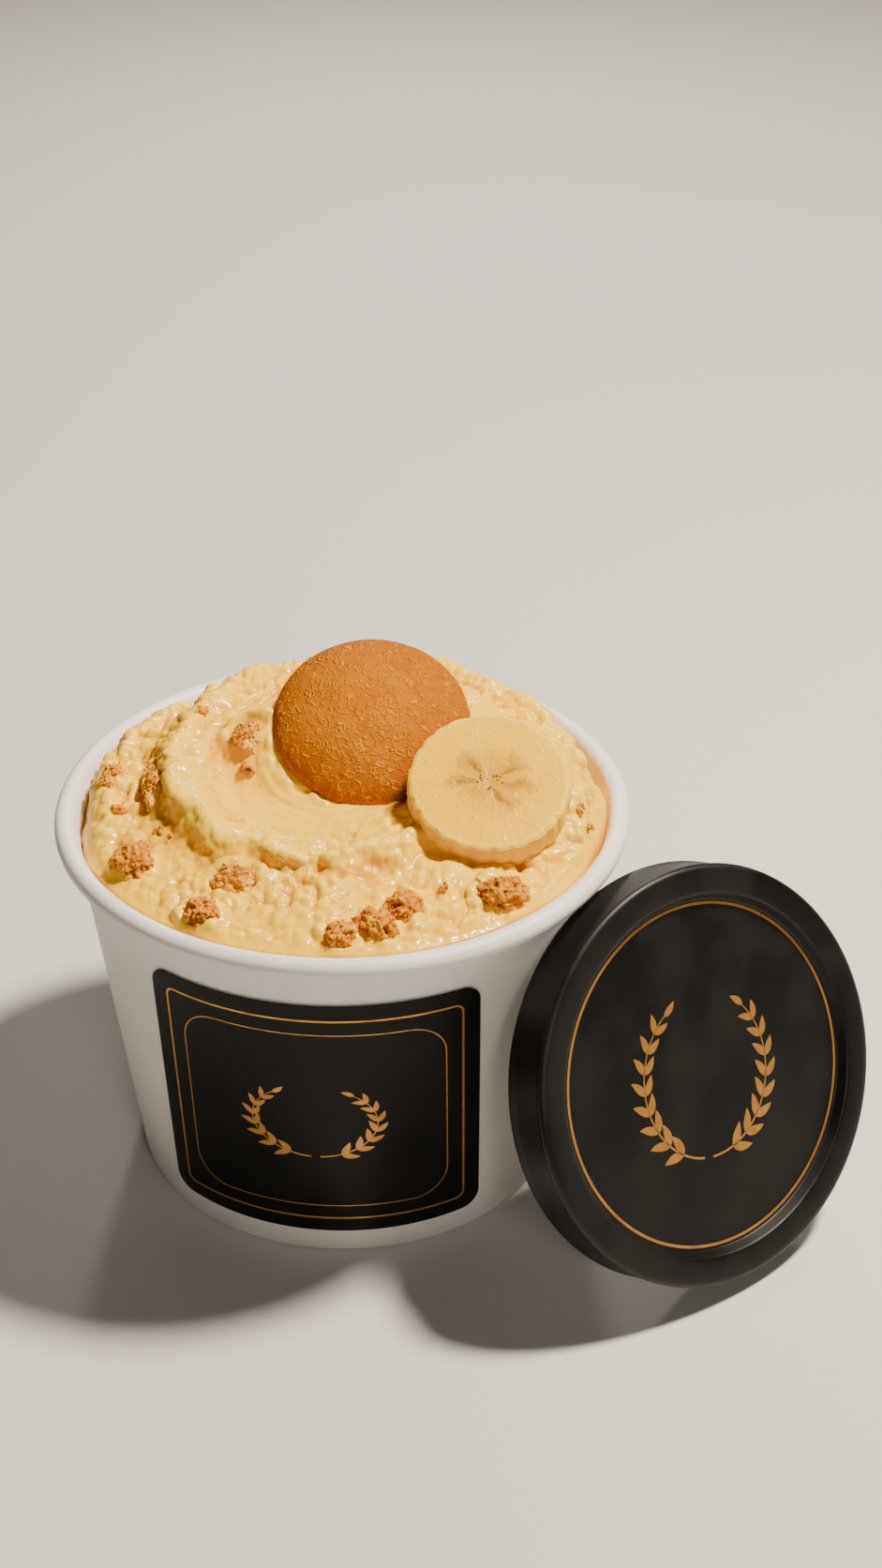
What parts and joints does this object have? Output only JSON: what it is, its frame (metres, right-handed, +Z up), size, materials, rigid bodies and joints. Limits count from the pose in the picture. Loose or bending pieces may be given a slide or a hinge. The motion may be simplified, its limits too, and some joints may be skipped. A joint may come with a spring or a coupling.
{
  "type": "banana pudding",
  "caption": "Banana pudding in a round paper tub, heaped and swirled, topped with a wafer, a banana slice and crumbs, with its lid leaning on the side.",
  "frame": {"origin": "on the surface the tub and lid stand on, at the middle of the length and width of the whole", "axes": "+Z up, the tub's front label faces -Y, the lid leans on the tub's +X, -Y side"},
  "size_m": [0.1668, 0.1228, 0.1036],
  "materials": {
    "paper": "matt coated",
    "label": "satin",
    "pudding": "moist",
    "wafer": "dry baked",
    "banana": "moist",
    "crumb": "dry crumbly",
    "lid": "satin"
  },
  "bodies": {
    "root": {"cup_wall": "paper", "cup_base": "paper", "label": "label", "pudding": "pudding", "wafer": "wafer", "banana_slice": "banana", "crumb_1": "crumb", "crumb_2": "crumb", "crumb_3": "crumb", "crumb_4": "crumb", "crumb_5": "crumb", "crumb_6": "crumb", "crumb_7": "crumb", "crumb_8": "crumb", "crumb_9": "crumb", "crumb_10": "crumb", "lid": "lid"}
  },
  "joints": []
}
